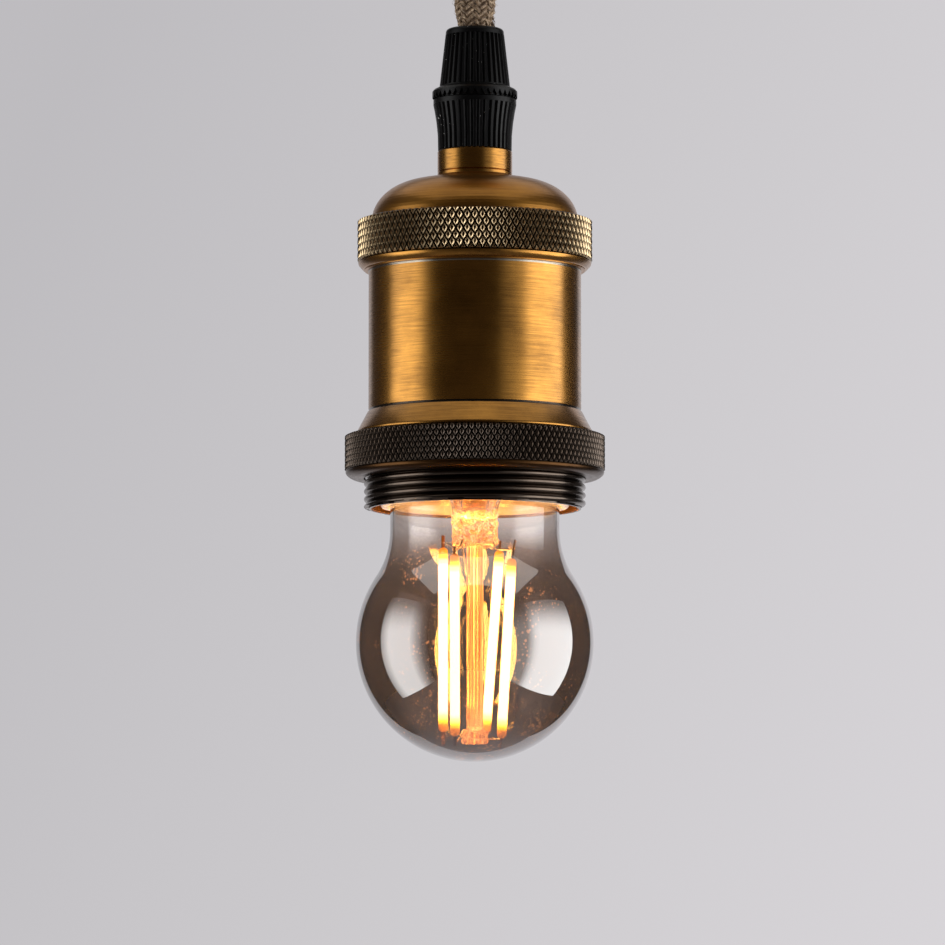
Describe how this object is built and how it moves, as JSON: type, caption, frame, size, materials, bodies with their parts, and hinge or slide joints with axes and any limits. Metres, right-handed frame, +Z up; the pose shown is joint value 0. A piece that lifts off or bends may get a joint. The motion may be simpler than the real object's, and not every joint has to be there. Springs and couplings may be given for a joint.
{
  "type": "pendant lamp holder with filament bulb",
  "caption": "Brass screw lamp holder with knurled rings and a smoky globe filament bulb, hung by a textile cord from a ceiling cup.",
  "frame": {"origin": "middle of the ceiling face, on top of the bracket", "axes": "+Z up out of the ceiling face; the lamp hangs towards -Z; +X along the bracket"},
  "size_m": [0.0824, 0.0774, 0.2402],
  "materials": {
    "aged_brass": "brushed antique brass",
    "knurled_brass": "knurled, dark in the grooves",
    "dark_bronze": "knurled, blackened bronze",
    "steel": "zinc plated",
    "nickel": "nickel plated",
    "contact_brass": "bright",
    "solder": "dull tin",
    "black_plastic": "satin moulded",
    "ivory_plastic": "moulded",
    "cord_braid": "natural braided yarn",
    "core_insulation": "flexible insulation",
    "porcelain": "glazed",
    "black_glass": "glossy black",
    "cement": "dull cement",
    "board": "lacquered",
    "smoky_glass": "smoky, slightly mirrored",
    "clear_glass": "clear",
    "glowing_stick": "lit phosphor coat"
  },
  "bodies": {
    "ceiling_fitting": {"ceiling_cup": "aged_brass", "ceiling_bracket": "steel", "cup_screws": "aged_brass", "terminal_block": "ivory_plastic", "terminal_screws": "contact_brass", "cup_tube": "steel", "cup_locknut": "steel", "cup_cord_grip": "black_plastic", "grip_side_screw": "black_plastic", "cord_tail": "cord_braid", "supply_cores": "core_insulation"},
    "pendant": {"cord": "cord_braid", "grip_collar": "black_plastic", "holder_tube": "steel", "neck_bush": "aged_brass", "holder_locknut": "steel", "earth_tag": "contact_brass", "dome_cap": "aged_brass", "upper_ring": "knurled_brass", "earth_core": "core_insulation"},
    "clamping_ring": {"grip_ring": "black_plastic"},
    "grip_nut": {"grip_nut": "black_plastic"},
    "core": {"porcelain_core": "porcelain", "screw_shell": "contact_brass", "live_terminal": "contact_brass", "neutral_terminal": "contact_brass", "core_terminal_screws": "steel", "contact_spring": "contact_brass", "live_core": "core_insulation", "neutral_core": "core_insulation"},
    "contact": {"contact_tip": "steel"},
    "sleeve": {"body_sleeve": "aged_brass"},
    "shade_ring": {"shade_ring": "dark_bronze"},
    "bulb_contact": {"base_contact": "solder"},
    "bulb": {"base_insulator": "black_glass", "base_shell": "nickel", "base_cement": "cement", "driver_board": "board", "driver_parts": "black_plastic", "glass_globe": "smoky_glass", "glass_stem": "clear_glass", "centre_rod": "clear_glass", "filament_1": "glowing_stick", "filament_2": "glowing_stick", "filament_3": "glowing_stick", "filament_4": "glowing_stick", "filament_tabs": "nickel", "upper_supports": "nickel", "lower_supports": "nickel", "lead_in_wires": "nickel"}
  },
  "joints": [
    {"name": "pendant_swing", "type": "hinge", "parent": "ceiling_fitting", "child": "pendant", "pos_m": [0, 0, -0.058], "axis": [0, 1, 0], "range_deg": [-25, 25], "deforming": ["cord"]},
    {"name": "grip_lift", "type": "slide", "parent": "pendant", "child": "clamping_ring", "axis": [0, 0, 1], "range_m": [0, 0.006]},
    {"name": "grip_nut_turn", "type": "hinge", "parent": "clamping_ring", "child": "grip_nut", "pos_m": [0, 0, -0.105], "axis": [0, 0, 1], "range_deg": [0, 2160]},
    {"name": "core_drop", "type": "slide", "parent": "pendant", "child": "core", "axis": [0, 0, -1], "range_m": [0, 0.006], "deforming": ["live_core", "neutral_core"]},
    {"name": "sleeve_turn", "type": "hinge", "parent": "core", "child": "sleeve", "pos_m": [0, 0, -0.16], "axis": [0, 0, -1], "range_deg": [0, 1440]},
    {"name": "contact_flex", "type": "slide", "parent": "core", "child": "contact", "axis": [0, 0, 1], "range_m": [0, 0.001], "stiffness_N_per_m": 800, "deforming": ["contact_spring"]},
    {"name": "shade_ring_travel", "type": "slide", "parent": "sleeve", "child": "shade_ring", "axis": [0, 0, -1], "range_m": [0, 0.0141]},
    {"name": "bulb_travel", "type": "slide", "parent": "core", "child": "bulb_contact", "axis": [0, 0, -1], "range_m": [0, 0.01815]},
    {"name": "bulb_turn", "type": "hinge", "parent": "bulb_contact", "child": "bulb", "pos_m": [0, 0, -0.175], "axis": [0, 0, -1], "range_deg": [0, 1800]}
  ],
  "couplings": [
    {"joint": "grip_nut_turn", "follows": "grip_lift", "rad_per_m": 6283.2},
    {"joint": "sleeve_turn", "follows": "core_drop", "rad_per_m": 4188.8},
    {"joint": "bulb_turn", "follows": "bulb_travel", "rad_per_m": 1731.4}
  ]
}
